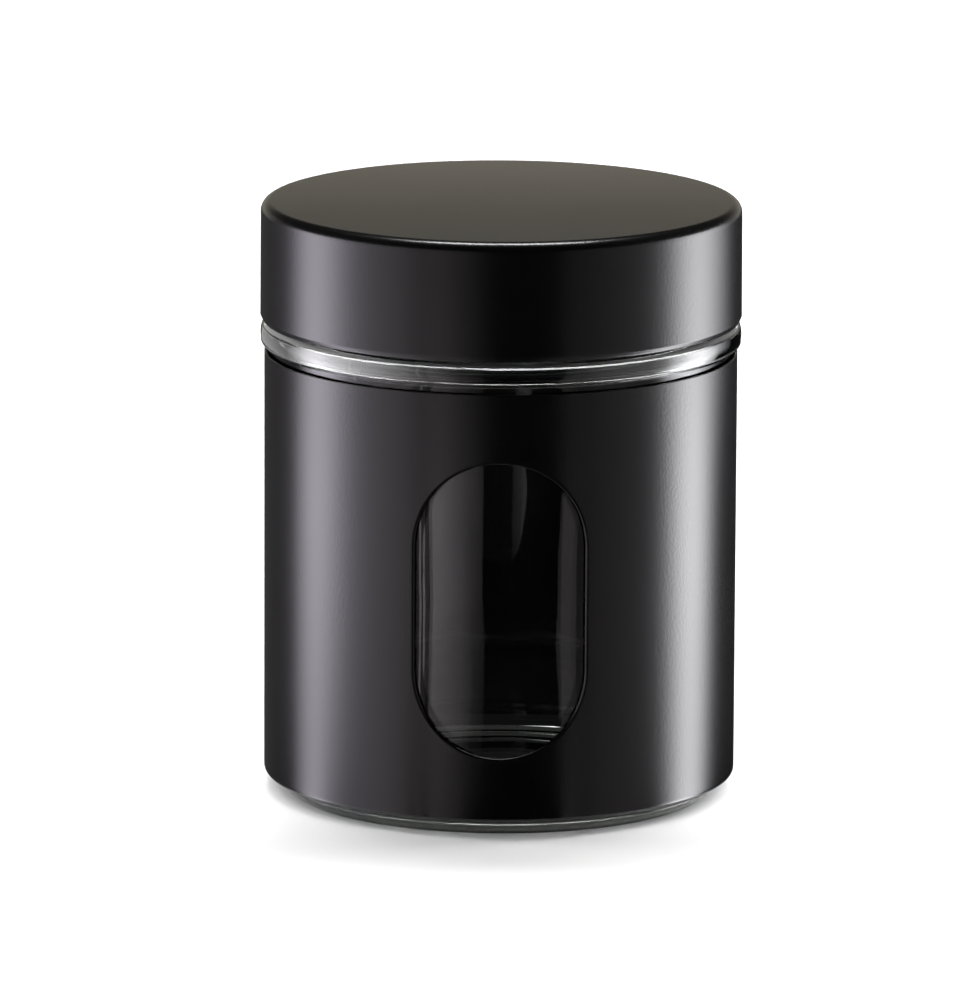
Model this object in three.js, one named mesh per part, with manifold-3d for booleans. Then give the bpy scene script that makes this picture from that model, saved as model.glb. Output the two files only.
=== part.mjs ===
// A glass storage jar in a painted sheet-metal sleeve, closed by a screw lid.
// Millimetres, +Z up. The origin is the centre of the ring the jar stands on, and the window faces -Y.

import * as THREE from 'three';
import { mergeVertices } from 'three/addons/utils/BufferGeometryUtils.js';
import Module from 'manifold-3d';

const wasm = await Module();
wasm.setup();

// Glass body
const BODY_RADIUS = 48.6; // outside of the straight wall behind the sleeve
const GLASS_WALL = 3.0;
const SEAT_HEIGHT = 93.64; // top of the straight wall, where the shoulder bead begins
const FLOOR_HEIGHT = 3.4; // inside floor above the standing plane
const FLOOR_CORNER = 5.0; // inside radius between floor and wall
const HEEL_HEIGHT = 8.0;
const HEEL_INSET = 4.2; // the standing ring lies this far inside the wall
const STAND_WIDTH = 4.0; // flat ring that the jar stands on
const PUNT_DEPTH = 1.2; // hollow under the floor

// Shoulder bead between sleeve and lid
const BEAD_OVERHANG = 1.85; // beyond the straight wall
const BEAD_UNDER_RADIUS = 5.6;
const BEAD_BAND = 0.88; // upright part above the under curve
const BEAD_CORNER = 0.9;

// Neck
const SHOULDER_STEP = 4.3; // the neck is this much smaller than the wall, in radius
const NECK_HEIGHT = 22.1; // from the shoulder ledge to the rim
const NECK_WALL = 3.4;
const NECK_FILLET = 1.0;
const RIM_ROUND = 1.2;
const INNER_SHOULDER_BELOW = 5.0; // the inside wall starts to close in this far below the ledge
const INNER_SHOULDER_RISE = 6.5;

// Screw thread, several equal starts around the neck
const THREAD_STARTS = 4;
const THREAD_LEAD = 20; // rise in one whole turn
const THREAD_DEPTH = 1.4;
const THREAD_ROOT_WIDTH = 3.0;
const THREAD_CREST_WIDTH = 1.2;
const THREAD_SPAN = 100; // degrees that one start runs round the neck
const LUG_SPAN = 70; // degrees that one start runs round the inside of the lid
const RUN_OUT = 12; // degrees over which a start fades at each end
const THREAD_BELOW_RIM = 8.7; // middle of the thread below the rim

// Clearances
const FIT_GAP = 0.3; // between pieces that seat on each other
const SEAL_GAP = 0.15; // on each face of the seal
const LID_CLEARANCE = 0.9; // between the lower rim of the lid and the shoulder ledge
const THREAD_CLEARANCE = 0.45; // between a crest and the opposite wall
const FLANK_CLEARANCE = 0.35; // between the pressing flanks

// Sleeve
const SLEEVE_SHEET = 0.45;
const SLEEVE_STANDOFF = 0.6; // air between the glass wall and the sheet
const SLEEVE_LOW_EDGE = 4.3;
const SLEEVE_TUCK = 0.31; // the upper edge reaches this far past the seat, under the bead
const ROLL_RADIUS = 2.2; // lower edge, turned in under the heel
const ROLL_ANGLE = 48;
const WINDOW_WIDTH = 35.4;
const WINDOW_HEIGHT = 62;
const WINDOW_MIDDLE = 48.1;
const WINDOW_LIP = 0.9; // width of the edge that turns in around the window

// Lid
const LID_SHEET = 0.45;
const LID_CORNER = 3.0;
const CURL_DEPTH = 0.9; // inward reach of the rounded lower rim
const CURL_HEIGHT = 1.25;
const CURL_RETURN = 0.4; // flat lip inside the curl that holds the liner
const LINER_WEB = 1.2;
const LINER_SKIRT = 1.5;
const LINER_FLANGE = 1.2;
const FLANGE_DEPTH = 2.1; // from the skirt out to the shell
const RIB_DEPTH = 1.4;
const RIB_WIDTH = 1.2;
const RIB_COUNT = 16;
const SEAL_THICKNESS = 1.6;
const SEAL_WIDTH = 5.2;
const SEAL_HOLD_DEPTH = 0.75; // bead inside the skirt that keeps the seal from dropping out
const SEAL_HOLD_HEIGHT = 0.6;

// Facets of the round surfaces
const TURN_SEGMENTS = 64;
const WINDOW_SEGMENTS = 14;
const OVERLAP = 0.5; // joined solids run this far into each other

// Radii that follow from the sizes above
const standRadius = BODY_RADIUS - HEEL_INSET;
const beadRadius = BODY_RADIUS + BEAD_OVERHANG;
const neckRadius = BODY_RADIUS - SHOULDER_STEP;
const boreRadius = neckRadius - NECK_WALL;
const crestRadius = neckRadius + THREAD_DEPTH;
const sleeveInside = BODY_RADIUS + SLEEVE_STANDOFF;
const sleeveOutside = sleeveInside + SLEEVE_SHEET;
const skirtInside = crestRadius + THREAD_CLEARANCE;
const skirtOutside = skirtInside + LINER_SKIRT;
const linerOutside = skirtOutside + FLANGE_DEPTH;
const shellInside = linerOutside + FIT_GAP;
const lidRadius = shellInside + LID_SHEET;
const sealOutside = skirtInside - FIT_GAP;
const flankTaper = (THREAD_ROOT_WIDTH - THREAD_CREST_WIDTH) / THREAD_DEPTH;

// Heights that follow from the sizes above
const beadUnderHeight = Math.sqrt(BEAD_UNDER_RADIUS ** 2 - (BEAD_UNDER_RADIUS - BEAD_OVERHANG) ** 2);
const bandLow = SEAT_HEIGHT + beadUnderHeight;
const ledge = bandLow + BEAD_BAND + BEAD_CORNER;
const rimTop = ledge + NECK_HEIGHT;
const threadMiddle = rimTop - THREAD_BELOW_RIM;
const sealLow = rimTop + SEAL_GAP;
const webLow = sealLow + SEAL_THICKNESS + SEAL_GAP;
const webTop = webLow + LINER_WEB;
const shellCeiling = webTop + FIT_GAP;
const lidTop = shellCeiling + LID_SHEET;
const lidLow = ledge + LID_CLEARANCE;
const flangeLow = lidLow + LID_SHEET + FIT_GAP;
const curlTop = lidLow + CURL_HEIGHT;
const flangeTop = curlTop + FIT_GAP + LINER_FLANGE;

const radians = THREE.MathUtils.degToRad;
const point = (radius, height) => new THREE.Vector2(radius, height);

// Points on an ellipse quarter or arc in the profile plane, from one angle in degrees to another.
function arc(centre, radiusAcross, radiusUp, from, to, steps) {
  const points = [];
  for (let i = 0; i <= steps; i += 1) {
    const angle = radians(from + ((to - from) * i) / steps);
    points.push(point(centre.x + radiusAcross * Math.cos(angle), centre.y + radiusUp * Math.sin(angle)));
  }
  return points;
}

// A closed solid with welded vertices and no empty triangles.
function solid(geometry) {
  const bare = geometry.clone();
  bare.deleteAttribute('normal');
  bare.deleteAttribute('uv');
  const welded = mergeVertices(bare, 1e-4);
  const index = welded.index.array;
  const triVerts = [];
  for (let i = 0; i < index.length; i += 3) {
    const [a, b, c] = [index[i], index[i + 1], index[i + 2]];
    if (a !== b && b !== c && c !== a) {
      triVerts.push(a, b, c);
    }
  }
  const vertProperties = new Float32Array(welded.attributes.position.array);
  const mesh = new wasm.Mesh({ numProp: 3, vertProperties, triVerts: new Uint32Array(triVerts) });
  return new wasm.Manifold(mesh);
}

// A profile of radius and height, turned about the Z axis.
function turned(profile) {
  const geometry = new THREE.LatheGeometry(profile, TURN_SEGMENTS);
  geometry.rotateX(Math.PI / 2);
  return solid(geometry);
}

// A profile that closes on itself, turned into a ring.
function ring(profile) {
  return turned([...profile, profile[0].clone()]);
}

// One start of a thread: a tapered ridge on a helix that fades into its wall at both ends.
// Its sections lie in the middle of the wall's facets.
function ridge({ wallRadius, depth, middle, centreAngle, span }) {
  const facet = 360 / TURN_SEGMENTS;
  const steps = 2 * Math.floor(span / (2 * facet)) + 1;
  const halfSpan = (steps * facet) / 2;
  const side = Math.sign(depth);
  const base = wallRadius - side * OVERLAP;
  const baseWidth = THREAD_ROOT_WIDTH + flankTaper * OVERLAP;
  const positions = [];
  for (let i = 0; i <= steps; i += 1) {
    const degrees = facet * i - halfSpan;
    const fade = Math.min(1, (halfSpan - Math.abs(degrees)) / RUN_OUT);
    const crest = base + (side * OVERLAP) / 2 + (side * OVERLAP * fade) / 2 + depth * fade;
    const angle = radians(centreAngle + degrees);
    const height = middle + (THREAD_LEAD * degrees) / 360;
    const corners = [
      [base, -baseWidth / 2],
      [crest, -THREAD_CREST_WIDTH / 2],
      [crest, THREAD_CREST_WIDTH / 2],
      [base, baseWidth / 2],
    ];
    for (const [radius, rise] of corners) {
      positions.push(radius * Math.cos(angle), radius * Math.sin(angle), height + rise);
    }
  }
  const last = steps * 4;
  const faces = [0, 1, 2, 0, 2, 3, last, last + 2, last + 1, last, last + 3, last + 2];
  for (let i = 0; i < last; i += 4) {
    for (let j = 0; j < 4; j += 1) {
      const near = i + j;
      const next = i + ((j + 1) % 4);
      faces.push(near, near + 4, next, next, near + 4, next + 4);
    }
  }
  if (side < 0) {
    faces.reverse();
  }
  const geometry = new THREE.BufferGeometry();
  geometry.setAttribute('position', new THREE.Float32BufferAttribute(positions, 3));
  geometry.setIndex(faces);
  return solid(geometry);
}

// All starts of one thread, joined to the wall that carries it.
function threaded(wall, options) {
  let result = wall;
  for (let start = 0; start < THREAD_STARTS; start += 1) {
    const centreAngle = (360 * start) / THREAD_STARTS;
    result = result.add(ridge({ ...options, centreAngle }));
  }
  return result;
}

// An upright oblong prism that reaches from the axis out through the front.
function oblong(width, height, depth) {
  const radius = width / 2;
  const reach = height / 2 - radius;
  const shape = new THREE.Shape();
  shape.absarc(0, reach, radius, 0, Math.PI, false);
  shape.absarc(0, -reach, radius, Math.PI, 2 * Math.PI, false);
  const options = { depth, bevelEnabled: false, curveSegments: WINDOW_SEGMENTS };
  const geometry = new THREE.ExtrudeGeometry(shape, options);
  geometry.rotateX(Math.PI / 2);
  geometry.translate(0, 0, WINDOW_MIDDLE);
  return solid(geometry);
}

function glassJar() {
  const heelRadius = (HEEL_INSET ** 2 + HEEL_HEIGHT ** 2) / (2 * HEEL_INSET);
  const heelSweep = THREE.MathUtils.radToDeg(Math.asin(HEEL_HEIGHT / heelRadius));
  const underSweep = THREE.MathUtils.radToDeg(Math.asin(beadUnderHeight / BEAD_UNDER_RADIUS));
  const beadCentre = point(beadRadius - BEAD_UNDER_RADIUS, bandLow);
  const cornerCentre = point(beadRadius - BEAD_CORNER, ledge - BEAD_CORNER);
  const wallInside = BODY_RADIUS - GLASS_WALL;
  const closeLow = ledge - INNER_SHOULDER_BELOW;
  const closeTop = closeLow + INNER_SHOULDER_RISE;
  const punt = new THREE.QuadraticBezierCurve(
    point(0, PUNT_DEPTH),
    point((standRadius - STAND_WIDTH) * 0.75, PUNT_DEPTH),
    point(standRadius - STAND_WIDTH, 0),
  );
  const innerShoulder = new THREE.CubicBezierCurve(
    point(boreRadius, closeTop),
    point(boreRadius, closeTop - INNER_SHOULDER_RISE * 0.55),
    point(wallInside, closeLow + INNER_SHOULDER_RISE * 0.55),
    point(wallInside, closeLow),
  );
  const profile = [
    ...punt.getPoints(4),
    ...arc(point(BODY_RADIUS - heelRadius, HEEL_HEIGHT), heelRadius, heelRadius, -heelSweep, 0, 4),
    ...arc(beadCentre, BEAD_UNDER_RADIUS, BEAD_UNDER_RADIUS, -underSweep, 0, 4),
    ...arc(cornerCentre, BEAD_CORNER, BEAD_CORNER, 0, 90, 3),
    ...arc(point(neckRadius + NECK_FILLET, ledge + NECK_FILLET), NECK_FILLET, NECK_FILLET, 270, 180, 2),
    ...arc(point(neckRadius - RIM_ROUND, rimTop - RIM_ROUND), RIM_ROUND, RIM_ROUND, 0, 90, 3),
    ...arc(point(boreRadius + RIM_ROUND, rimTop - RIM_ROUND), RIM_ROUND, RIM_ROUND, 90, 180, 3),
    ...innerShoulder.getPoints(5),
    ...arc(
      point(wallInside - FLOOR_CORNER, FLOOR_HEIGHT + FLOOR_CORNER),
      FLOOR_CORNER,
      FLOOR_CORNER,
      0,
      -90,
      4,
    ),
    point(0, FLOOR_HEIGHT),
  ];
  return threaded(turned(profile), {
    wallRadius: neckRadius,
    depth: THREAD_DEPTH,
    middle: threadMiddle,
    span: THREAD_SPAN,
  });
}

function metalSleeve() {
  const sweep = radians(ROLL_ANGLE);
  const rollTop = SLEEVE_LOW_EDGE + ROLL_RADIUS * Math.sin(sweep);
  const centre = point(sleeveOutside - ROLL_RADIUS, rollTop);
  const insideRadius = ROLL_RADIUS - SLEEVE_SHEET;
  const top = SEAT_HEIGHT + SLEEVE_TUCK;
  const sheet = ring([
    ...arc(centre, ROLL_RADIUS, ROLL_RADIUS, -ROLL_ANGLE, 0, 4),
    point(sleeveOutside, top),
    point(sleeveInside, top),
    ...arc(centre, insideRadius, insideRadius, 0, -ROLL_ANGLE, 4),
  ]);
  const lipLow = WINDOW_MIDDLE - WINDOW_HEIGHT / 2 - 2 * WINDOW_LIP;
  const lipTop = WINDOW_MIDDLE + WINDOW_HEIGHT / 2 + 2 * WINDOW_LIP;
  const lipInside = BODY_RADIUS + FIT_GAP;
  const lipOutside = sleeveInside + SLEEVE_SHEET / 2;
  const lipBand = ring([
    point(lipInside, lipLow),
    point(lipOutside, lipLow),
    point(lipOutside, lipTop),
    point(lipInside, lipTop),
  ]);
  const reach = sleeveOutside + OVERLAP;
  const outline = oblong(WINDOW_WIDTH + 2 * WINDOW_LIP, WINDOW_HEIGHT + 2 * WINDOW_LIP, reach);
  const opening = oblong(WINDOW_WIDTH, WINDOW_HEIGHT, reach);
  return sheet.add(lipBand.intersect(outline)).subtract(opening);
}

function lidShell() {
  const cornerInside = LID_CORNER - LID_SHEET;
  const cornerHeight = lidTop - LID_CORNER;
  const cornerCentre = point(lidRadius - LID_CORNER, cornerHeight);
  const curlCentre = point(lidRadius - CURL_DEPTH, curlTop);
  const curlInside = CURL_DEPTH - LID_SHEET;
  const returnRadius = curlCentre.x - CURL_RETURN;
  return turned([
    point(0, shellCeiling),
    ...arc(cornerCentre, cornerInside, cornerInside, 90, 0, 4),
    ...arc(curlCentre, curlInside, CURL_HEIGHT - LID_SHEET, 0, -90, 3),
    point(returnRadius, lidLow + LID_SHEET),
    point(returnRadius, lidLow),
    ...arc(curlCentre, CURL_DEPTH, CURL_HEIGHT, -90, 0, 4),
    ...arc(cornerCentre, LID_CORNER, LID_CORNER, 0, 90, 5),
    point(0, lidTop),
  ]);
}

function lidLiner() {
  const cornerRadius = LID_CORNER - LID_SHEET - FIT_GAP;
  const cornerCentre = point(linerOutside - cornerRadius, webTop - cornerRadius);
  const edgeAngle = THREE.MathUtils.radToDeg(Math.asin((webLow - cornerCentre.y) / cornerRadius));
  const holdRadius = skirtInside - SEAL_HOLD_DEPTH;
  const holdTop = sealLow - SEAL_GAP;
  const holdLow = holdTop - SEAL_HOLD_HEIGHT;
  const seatRadius = lidRadius - CURL_DEPTH;
  const body = turned([
    point(0, webLow),
    point(skirtInside, webLow),
    point(skirtInside, holdTop),
    point(holdRadius, holdTop - SEAL_HOLD_HEIGHT / 3),
    point(holdRadius, holdLow + SEAL_HOLD_HEIGHT / 3),
    point(skirtInside, holdLow),
    point(skirtInside, flangeLow),
    point(seatRadius, flangeLow),
    point(linerOutside, curlTop),
    point(linerOutside, flangeTop),
    point(skirtOutside, flangeTop),
    point(skirtOutside, webLow),
    ...arc(cornerCentre, cornerRadius, cornerRadius, edgeAngle, 90, 4),
    point(0, webTop),
  ]);
  const flankDistance = THREAD_CREST_WIDTH + (flankTaper * (THREAD_DEPTH - THREAD_CLEARANCE)) / 2;
  let liner = threaded(body, {
    wallRadius: skirtInside,
    depth: -THREAD_DEPTH,
    middle: threadMiddle - flankDistance - FLANK_CLEARANCE,
    span: LUG_SPAN,
  });
  const ribHeight = webLow - flangeTop + 2 * OVERLAP;
  for (let i = 0; i < RIB_COUNT; i += 1) {
    const rib = new THREE.BoxGeometry(RIB_DEPTH + OVERLAP, RIB_WIDTH, ribHeight);
    rib.translate(skirtOutside + (RIB_DEPTH - OVERLAP) / 2, 0, (webLow + flangeTop) / 2);
    rib.rotateZ(radians((360 * (i + 0.5)) / RIB_COUNT));
    liner = liner.add(solid(rib));
  }
  return liner;
}

function lidSeal() {
  const sealTop = sealLow + SEAL_THICKNESS;
  const inside = sealOutside - SEAL_WIDTH;
  return ring([
    point(inside, sealLow),
    point(sealOutside, sealLow),
    point(sealOutside, sealTop),
    point(inside, sealTop),
  ]);
}

// A named piece with its own material.
function piece(name, shape, colour, roughness, metalness) {
  const { vertProperties, triVerts } = shape.getMesh();
  const geometry = new THREE.BufferGeometry();
  geometry.setAttribute('position', new THREE.Float32BufferAttribute(vertProperties, 3));
  geometry.setIndex(Array.from(triVerts));
  geometry.computeVertexNormals();
  const material = new THREE.MeshStandardMaterial({ color: colour, roughness, metalness });
  const mesh = new THREE.Mesh(geometry, material);
  mesh.name = name;
  return mesh;
}

const jar = new THREE.Group();
jar.name = 'storage_jar';
jar.add(piece('glass_jar', glassJar(), 0xc9d3cd, 0.03, 0));
jar.add(piece('metal_sleeve', metalSleeve(), 0x151416, 0.4, 0.1));
jar.add(piece('lid_shell', lidShell(), 0x151416, 0.4, 0.1));
jar.add(piece('lid_liner', lidLiner(), 0x1f2022, 0.55, 0));
jar.add(piece('lid_seal', lidSeal(), 0xe4e3de, 0.6, 0));

export default jar;
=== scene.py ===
# %% [markdown]
# # A glass storage jar in a black metal sleeve
# The jar is one moulded glass, a rolled black sheet around it and a lid of three layers: a drawn metal
# cap, a threaded plastic liner and a soft seal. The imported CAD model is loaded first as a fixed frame.
# Every piece below is drawn in millimetres in that frame and then scaled to metres, so it lands where
# the CAD piece is and can ride on the same body.

# %% Load the frame
import math

import bmesh
import bpy
from mathutils import Matrix, Vector


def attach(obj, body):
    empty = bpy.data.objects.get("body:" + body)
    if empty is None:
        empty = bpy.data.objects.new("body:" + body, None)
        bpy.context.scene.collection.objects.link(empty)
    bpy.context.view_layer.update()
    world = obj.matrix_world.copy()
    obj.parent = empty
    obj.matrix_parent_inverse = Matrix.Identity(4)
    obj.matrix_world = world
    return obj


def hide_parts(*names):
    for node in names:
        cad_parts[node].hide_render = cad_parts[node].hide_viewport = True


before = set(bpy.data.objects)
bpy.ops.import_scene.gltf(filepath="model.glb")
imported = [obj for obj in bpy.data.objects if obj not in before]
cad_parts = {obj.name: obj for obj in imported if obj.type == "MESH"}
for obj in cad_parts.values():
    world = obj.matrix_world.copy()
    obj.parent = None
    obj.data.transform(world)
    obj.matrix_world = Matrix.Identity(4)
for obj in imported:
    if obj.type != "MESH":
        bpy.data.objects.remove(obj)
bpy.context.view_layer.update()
MM = 0.001
scene = bpy.context.scene
scene.view_settings.view_transform = "Standard"

# %% [markdown]
# ## Camera
# The photograph was taken with a long lens from a little above the lid. The distance, height and tilt
# below come from fitting the ellipses of the lid, the bead and the sleeve. A long lens keeps the sides
# of the jar almost parallel, so a wide lens close by would never match the outline.

# %% Camera
CAMERA_DISTANCE = 2135.0
CAMERA_HEIGHT = 508.0
CAMERA_SIDE = -2.14
CAMERA_TILT = 11.762
CAMERA_ROLL = 0.28
IMAGE_WIDTH = 980
FOCAL_PIXELS = 10362.0
SENSOR = 36.0
FAR_CLIP = 50.0

lens = bpy.data.cameras.new("photo_camera")
lens.sensor_fit = "HORIZONTAL"
lens.sensor_width = SENSOR
lens.lens = FOCAL_PIXELS * SENSOR / IMAGE_WIDTH
lens.clip_end = FAR_CLIP
camera = bpy.data.objects.new("photo_camera", lens)
scene.collection.objects.link(camera)
tilt = Matrix.Rotation(math.radians(90 - CAMERA_TILT), 4, "X")
roll = Matrix.Rotation(math.radians(CAMERA_ROLL), 4, "Z")
place = Matrix.Translation(Vector((CAMERA_SIDE, -CAMERA_DISTANCE, CAMERA_HEIGHT)) * MM)
camera.matrix_world = place @ tilt @ roll
scene.camera = camera
print("lens", round(lens.lens, 1), "mm")

# %% [markdown]
# ## Profiles
# Glass, cap, liner and seal are all turned shapes: half of their cross-section, spun about the jar's
# axis. A profile is a list of (radius, height) points. Rounded corners are short arcs, and every
# straight run gets two extra points close to its ends. Those points keep the smooth shading of a
# corner from spreading over the flat face beside it.

# %% Profile helpers
def arc(centre, radius, start, end, steps, up=None):
    """Points on a circle in the profile plane, from one angle in degrees to another. With up=, the
    circle becomes an ellipse of that half-height."""
    up = up or radius
    points = []
    for step in range(steps + 1):
        angle = math.radians(start + (end - start) * step / steps)
        points.append((centre[0] + radius * math.cos(angle), centre[1] + up * math.sin(angle)))
    return points


def bezier(control, steps):
    """Points on a Bezier curve with three or four control points."""
    points = []
    degree = len(control) - 1
    for step in range(steps + 1):
        t = step / steps
        weights = [math.comb(degree, k) * t**k * (1 - t) ** (degree - k) for k in range(degree + 1)]
        points.append(tuple(sum(w * c[axis] for w, c in zip(weights, control)) for axis in (0, 1)))
    return points


def supported(points, near=0.12, longest=8.0):
    """Adds points close to the ends of every long straight run, and shares out very long ones."""
    result = [points[0]]
    for a, b in zip(points, points[1:]):
        length = math.dist(a, b)
        if length < 1e-6:
            continue
        places = []
        if length > 6 * near:
            inner = max(1, math.ceil(length / longest))
            places = [near / length] + [k / inner for k in range(1, inner)] + [1 - near / length]
        for t in places:
            result.append((a[0] + (b[0] - a[0]) * t, a[1] + (b[1] - a[1]) * t))
        result.append(b)
    return result


def upright(radius, low, high, step):
    """A run of evenly spaced points straight up or down at one radius."""
    count = max(1, round(abs(high - low) / step))
    return [(radius, low + (high - low) * k / count) for k in range(count + 1)]


print("an arc of a quarter:", arc((0, 0), 1, 0, 90, 2))

# %% [markdown]
# ## Turning by rule
# A lathe follows one rule: each profile point becomes a ring. That suits Geometry Nodes. The tree makes
# a grid with one row per profile point, bends it into rings, and closes the seam. Three more rules can
# be laid over it: a screw thread that climbs round a wall, the row of small marks that a glass mould
# leaves round the foot, and the uneven ridge that the joint between two parts of the mould leaves. Each
# is a number added to the radius, so they are small node groups that put out that number.

# %% Node helpers
NUMBER = "NodeSocketFloat"
WHOLE = "NodeSocketInt"
SHAPE = "NodeSocketGeometry"
FINISH = "NodeSocketMaterial"
GEOMETRY = "GeometryNodeTree"
SHADER = "ShaderNodeTree"


def feed(tree, source, socket):
    """Links a socket to another, or sets its plain value."""
    if isinstance(source, bpy.types.NodeSocket):
        tree.links.new(source, socket)
    else:
        socket.default_value = source


def feed_all(tree, node, **values):
    """Feeds the inputs of a node by their names, with _ for a space."""
    for title, value in values.items():
        feed(tree, value, node.inputs[title.replace("_", " ")])
    return node


def add(tree, kind, **values):
    """Adds a node and feeds its inputs."""
    return feed_all(tree, tree.nodes.new(kind), **values)


def calc(tree, operation, *values):
    """One Math node."""
    node = add(tree, "ShaderNodeMath")
    node.operation = operation
    for socket, value in zip(node.inputs, values):
        feed(tree, value, socket)
    return node.outputs[0]


def smooth(tree, value, start, end):
    """0 at start, 1 at end, with a soft step between them."""
    node = add(tree, "ShaderNodeMapRange", Value=value, From_Min=start, From_Max=end)
    node.interpolation_type = "SMOOTHSTEP"
    return node.outputs["Result"]


def noise(tree, place, scale, detail):
    """A noise texture on the given coordinates."""
    return add(tree, "ShaderNodeTexNoise", Vector=place, Scale=scale, Detail=detail).outputs[0]


def object_place(tree):
    """Coordinates that stay with the piece when it moves."""
    return add(tree, "ShaderNodeTexCoord").outputs["Object"]


def numbers(**defaults):
    """Group inputs that are plain numbers, with their usual values."""
    return [(title.replace("_", " "), NUMBER, value) for title, value in defaults.items()]


def new_group(name, kind, inputs, outputs):
    """An empty node group with named sockets, and its input and output nodes."""
    tree = bpy.data.node_groups.new(name, kind)
    for title, socket_type, value in inputs:
        socket = tree.interface.new_socket(title, in_out="INPUT", socket_type=socket_type)
        if value is not None:
            socket.default_value = value
    for title, socket_type in outputs:
        tree.interface.new_socket(title, in_out="OUTPUT", socket_type=socket_type)
    return tree, add(tree, "NodeGroupInput").outputs, add(tree, "NodeGroupOutput").inputs


def use_group(tree, group, **values):
    """Places a group in a tree and feeds its inputs. Returns its outputs."""
    node = add(tree, "GeometryNodeGroup" if tree.bl_idname == GEOMETRY else "ShaderNodeGroup")
    node.node_tree = group
    return feed_all(tree, node, **values).outputs


# %% The thread rule
def new_rule(name, **values):
    """A group that puts out what is added to the radius at an angle and a height."""
    inputs = numbers(Angle=0.0, Height=0.0, Middle=0.0, Depth=0.0, **values)
    return new_group(name, GEOMETRY, inputs, [("Offset", NUMBER)])


thread_values = dict(Lead=0.02, Starts=4.0, Root=0.0015, Crest=0.0006, Fade=0.2)
thread_rule, given, made = new_rule("thread_rule", **thread_values)
tree = thread_rule
half_sector = calc(tree, "DIVIDE", math.pi, given["Starts"])
lowest = calc(tree, "MULTIPLY", half_sector, -1.0)
local = calc(tree, "WRAP", given["Angle"], half_sector, lowest)
climb = calc(tree, "MULTIPLY", local, calc(tree, "DIVIDE", given["Lead"], math.tau))
centre = calc(tree, "ADD", given["Middle"], climb)
across = calc(tree, "ABSOLUTE", calc(tree, "SUBTRACT", given["Height"], centre))
flank = smooth(tree, across, given["Root"], given["Crest"])
full = calc(tree, "SUBTRACT", half_sector, given["Fade"])
fade = smooth(tree, calc(tree, "ABSOLUTE", local), half_sector, full)
height = calc(tree, "MULTIPLY", flank, fade)
feed(tree, calc(tree, "MULTIPLY", height, given["Depth"]), made["Offset"])
print("thread rule:", len(tree.nodes), "nodes")

# %% The foot-mark rule
MARK_EDGE = (0.5, 0.95)
MARK_MIDDLE = 0.0016
mark_rule, given, made = new_rule("mark_rule", Count=72.0, Reach=0.0006)
tree = mark_rule
wave = calc(tree, "COSINE", calc(tree, "MULTIPLY", given["Angle"], given["Count"]))
bar = smooth(tree, wave, *MARK_EDGE)
away = calc(tree, "ABSOLUTE", calc(tree, "SUBTRACT", given["Height"], given["Middle"]))
band = smooth(tree, away, given["Reach"], 0.0)
bump = calc(tree, "MULTIPLY", bar, band)
feed(tree, calc(tree, "MULTIPLY", bump, given["Depth"]), made["Offset"])
print("mark rule:", len(tree.nodes), "nodes")

# %% The mould-joint rule
UNEVEN_EDGE = (0.36, 0.6)
UNEVEN_SHARE = 0.35
PLACE_PER_METRE = 100.0
joint_rule, given, made = new_rule("joint_rule", Reach=0.00022, Waves=2.2)
tree = joint_rule
x, y = calc(tree, "COSINE", given["Angle"]), calc(tree, "SINE", given["Angle"])
z = calc(tree, "MULTIPLY", given["Middle"], PLACE_PER_METRE)
round_place = add(tree, "ShaderNodeCombineXYZ", X=x, Y=y, Z=z).outputs[0]
uneven = noise(tree, round_place, given["Waves"], detail=3.0)
strong = smooth(tree, uneven, *UNEVEN_EDGE)
share = calc(tree, "MULTIPLY_ADD", strong, UNEVEN_SHARE, 1 - UNEVEN_SHARE)
away = calc(tree, "ABSOLUTE", calc(tree, "SUBTRACT", given["Height"], given["Middle"]))
ridge = calc(tree, "MULTIPLY", smooth(tree, away, given["Reach"], 0.0), share)
feed(tree, calc(tree, "MULTIPLY", ridge, given["Depth"]), made["Offset"])
print("mould-joint rule:", len(tree.nodes), "nodes")

# %% The turning tree
WALL_TOLERANCE = 0.00002
CLOSING_GAP = 1e-6
turning, given, made = new_group(
    "turning",
    GEOMETRY,
    [("Profile", SHAPE, None), ("Segments", WHOLE, 256), ("Finish", FINISH, None)]
    + numbers(Thread_Depth=0.0, Thread_Middle=0.0, Thread_Wall=0.0, Mark_Depth=0.0, Mark_Wall=0.0)
    + numbers(Joint_Depth=0.0, Joint_Wall=0.0, Shoulder_Joint=0.0, Heel_Joint=0.0),
    [("Piece", SHAPE)],
)
tree = turning
rows = add(tree, "GeometryNodeAttributeDomainSize", Geometry=given["Profile"]).outputs["Point Count"]
columns = calc(tree, "ADD", given["Segments"], 1.0)
grid = add(tree, "GeometryNodeMeshGrid", Vertices_X=columns, Vertices_Y=rows)
index = add(tree, "GeometryNodeInputIndex").outputs[0]
column = calc(tree, "FLOOR", calc(tree, "DIVIDE", calc(tree, "ADD", index, 0.5), rows))
row = calc(tree, "SUBTRACT", index, calc(tree, "MULTIPLY", column, rows))
angle = calc(tree, "MULTIPLY", calc(tree, "DIVIDE", column, given["Segments"]), math.tau)
sample = add(tree, "GeometryNodeSampleIndex")
sample.data_type = "FLOAT_VECTOR"
position = add(tree, "GeometryNodeInputPosition").outputs[0]
feed_all(tree, sample, Geometry=given["Profile"], Value=position, Index=row)
profile_point = add(tree, "ShaderNodeSeparateXYZ", Vector=sample.outputs["Value"]).outputs
radius, height = profile_point["X"], profile_point["Z"]

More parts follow.
